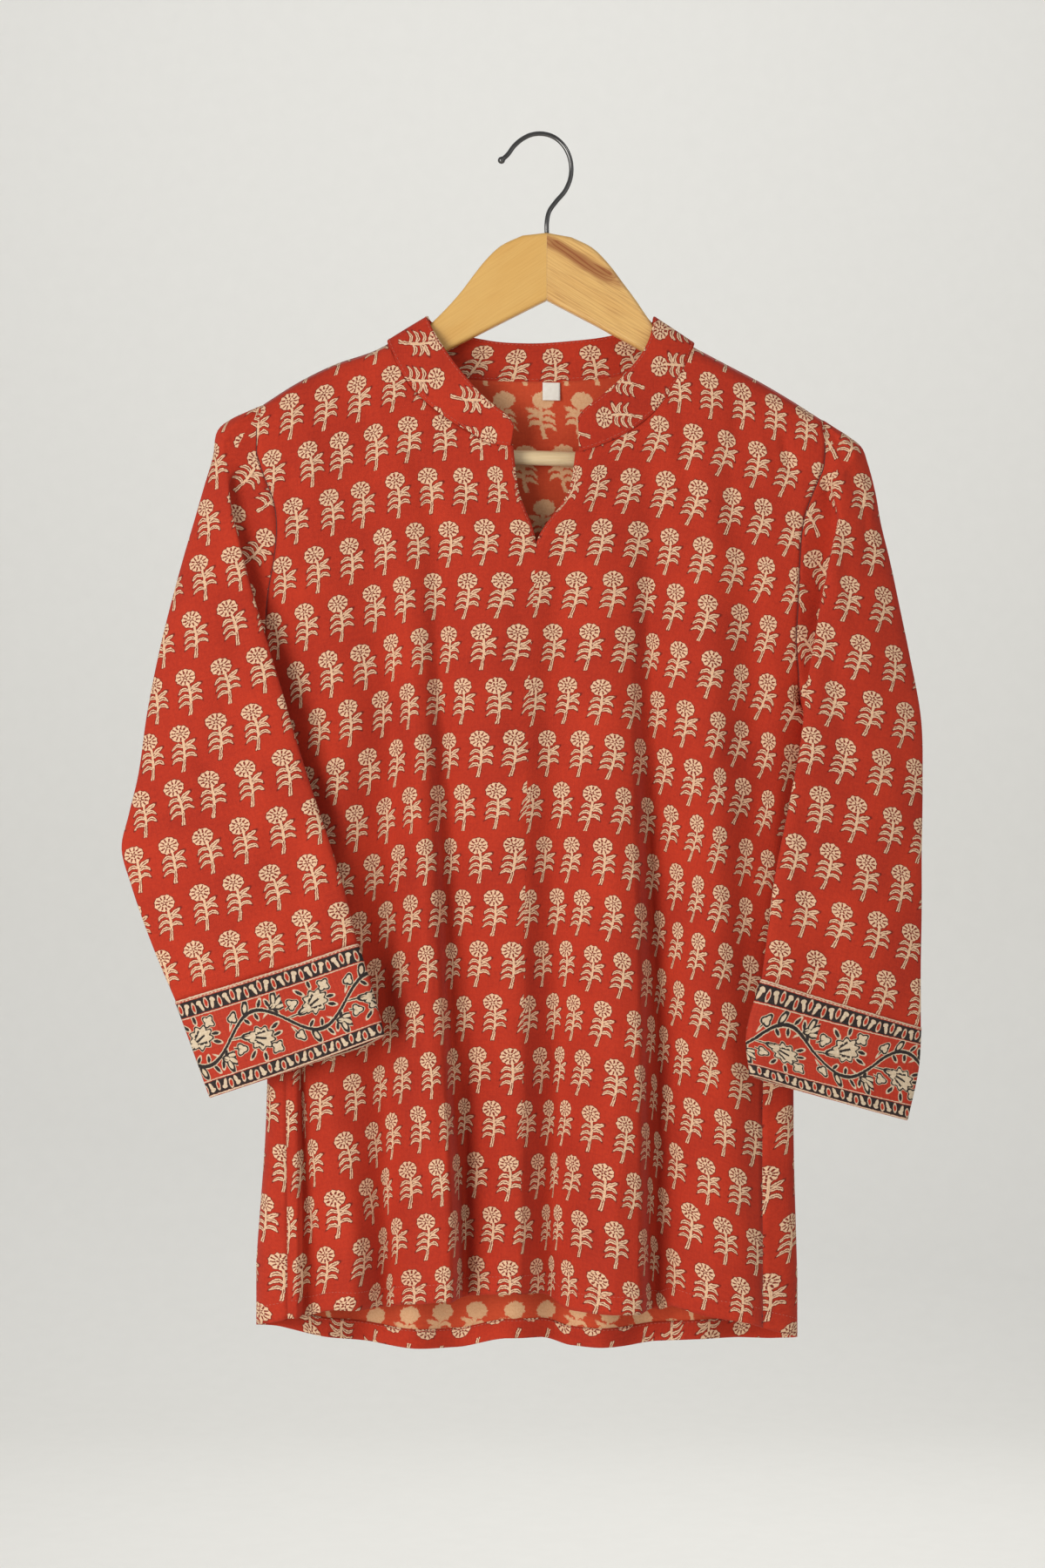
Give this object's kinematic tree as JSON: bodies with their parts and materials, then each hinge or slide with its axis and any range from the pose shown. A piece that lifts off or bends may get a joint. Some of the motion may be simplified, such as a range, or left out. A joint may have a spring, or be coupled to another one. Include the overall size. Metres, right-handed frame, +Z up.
{
  "type": "kurta tunic on a hanger",
  "caption": "Short block-printed cotton kurta with a band collar, neck slit and border cuffs, hanging on a wooden hanger with a bar and a steel wire hook.",
  "frame": {"origin": "inside of the hook's crown, where the hook rests on a rail or nail", "axes": "+Z up, -Y out of the kurta's front, +X towards the wearer's left"},
  "size_m": [0.5543, 0.0622, 0.8477],
  "materials": {
    "printed_cotton": "thin plain-weave cotton, block printed",
    "cotton_inside": "the paler reverse of the printed cotton",
    "border_cotton": "doubled cotton band printed with a border",
    "label_tape": "woven tape, bare",
    "pine": "clear lacquer",
    "dowel": "bare and sanded",
    "steel": "bright wire"
  },
  "bodies": {
    "root": {"front": "printed_cotton", "back": "printed_cotton", "sleeve_right": "printed_cotton", "sleeve_left": "printed_cotton", "cuff_right": "border_cotton", "cuff_left": "border_cotton", "collar": "printed_cotton", "slit_facing_right": "cotton_inside", "slit_facing_left": "cotton_inside", "front_hem": "cotton_inside", "back_hem": "cotton_inside", "size_label": "label_tape", "hanger_right": "pine", "hanger_left": "pine", "hanger_bar": "dowel", "hook": "steel"}
  },
  "joints": []
}
